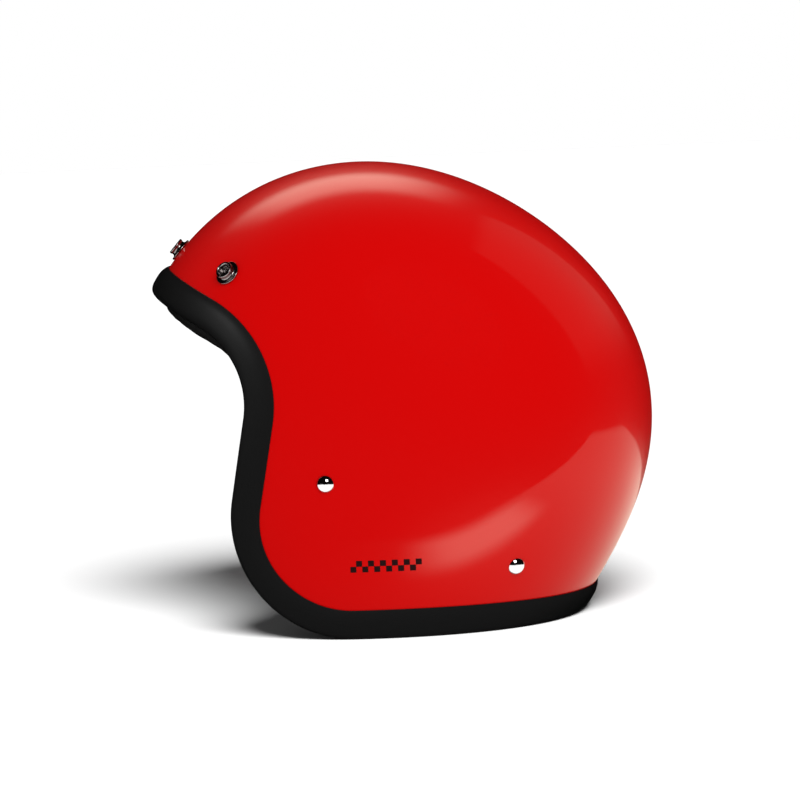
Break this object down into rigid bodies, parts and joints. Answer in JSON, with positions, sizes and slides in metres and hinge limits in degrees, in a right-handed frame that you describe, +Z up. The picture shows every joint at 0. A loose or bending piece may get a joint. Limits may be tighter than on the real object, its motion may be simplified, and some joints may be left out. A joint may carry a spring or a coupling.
{
  "type": "open-face motorcycle helmet",
  "caption": "Open-face motorcycle helmet with a gloss red shell, black rubber edge trim, quilted lining, visor snaps and a double D-ring chin strap.",
  "frame": {"origin": "middle of the bottom of the whole helmet, on the surface it stands on", "axes": "face looks along -Y, +X is the wearer's left, +Z up"},
  "size_m": [0.232, 0.2684, 0.2465],
  "materials": {
    "shell_gloss": "red lacquer under clear coat",
    "trim_rubber": "satin black moulded rubber",
    "liner_foam": "black expanded bead foam",
    "lining_fabric": "quilted brushed knit",
    "lining_leatherette": "black leatherette with stitching",
    "board_plastic": "thin moulded board",
    "rivet_chrome": "polished",
    "snap_metal": "dark nickel plate",
    "washer_steel": "zinc plated steel",
    "strap_webbing": "woven polyester webbing",
    "sleeve_fabric": "padded knit sleeve",
    "tab_webbing": "red woven tab"
  },
  "bodies": {
    "helmet": {"outer_shell": "shell_gloss", "edge_trim": "trim_rubber", "impact_liner": "liner_foam", "crown_pad": "lining_fabric", "brow_pad": "lining_leatherette", "neck_roll": "lining_leatherette", "cheek_pad_left": "lining_fabric", "cheek_pad_right": "lining_fabric", "cheek_board_left": "board_plastic", "cheek_board_right": "board_plastic", "cheek_snap_sockets": "board_plastic", "cheek_snap_studs": "board_plastic", "strap_rivets": "rivet_chrome", "rivet_washers": "washer_steel", "visor_snap_studs": "snap_metal", "visor_snap_eyelets": "snap_metal", "strap_leg_front_left": "strap_webbing", "strap_leg_front_right": "strap_webbing", "strap_leg_rear_left": "strap_webbing", "strap_leg_rear_right": "strap_webbing"},
    "left_strap": {"short_webbing": "strap_webbing", "sleeve_left": "sleeve_fabric"},
    "ring_lower": {"d_ring_lower": "washer_steel"},
    "ring_upper": {"d_ring_upper": "washer_steel", "release_tab": "tab_webbing"},
    "right_strap": {"long_webbing": "strap_webbing", "sleeve_right": "sleeve_fabric", "keeper_stud": "snap_metal"},
    "strap_tail": {"tail_webbing": "strap_webbing", "tail_snap_cap": "snap_metal"}
  },
  "joints": [
    {"name": "left_strap_swing", "type": "hinge", "parent": "helmet", "child": "left_strap", "pos_m": [0.088, -0.0094, 0.0032], "axis": [-0.225, -0.9744, 0], "range_deg": [-25, 80]},
    {"name": "right_strap_swing", "type": "hinge", "parent": "helmet", "child": "right_strap", "pos_m": [-0.088, -0.0094, 0.0032], "axis": [0.225, 0.9744, 0], "range_deg": [-25, 80]},
    {"name": "lower_ring_swing", "type": "hinge", "parent": "left_strap", "child": "ring_lower", "pos_m": [0.03928, 0.00185, 0.0043], "axis": [-0.225, -0.9744, 0], "range_deg": [0, 70]},
    {"name": "upper_ring_swing", "type": "hinge", "parent": "left_strap", "child": "ring_upper", "pos_m": [0.03928, 0.00185, 0.0099], "axis": [-0.225, -0.9744, 0], "range_deg": [-100, 0]},
    {"name": "tail_fold", "type": "hinge", "parent": "right_strap", "child": "strap_tail", "pos_m": [0.02756, -0.03608, 0.00445], "axis": [0.225, 0.9744, 0], "range_deg": [0, 115]}
  ]
}
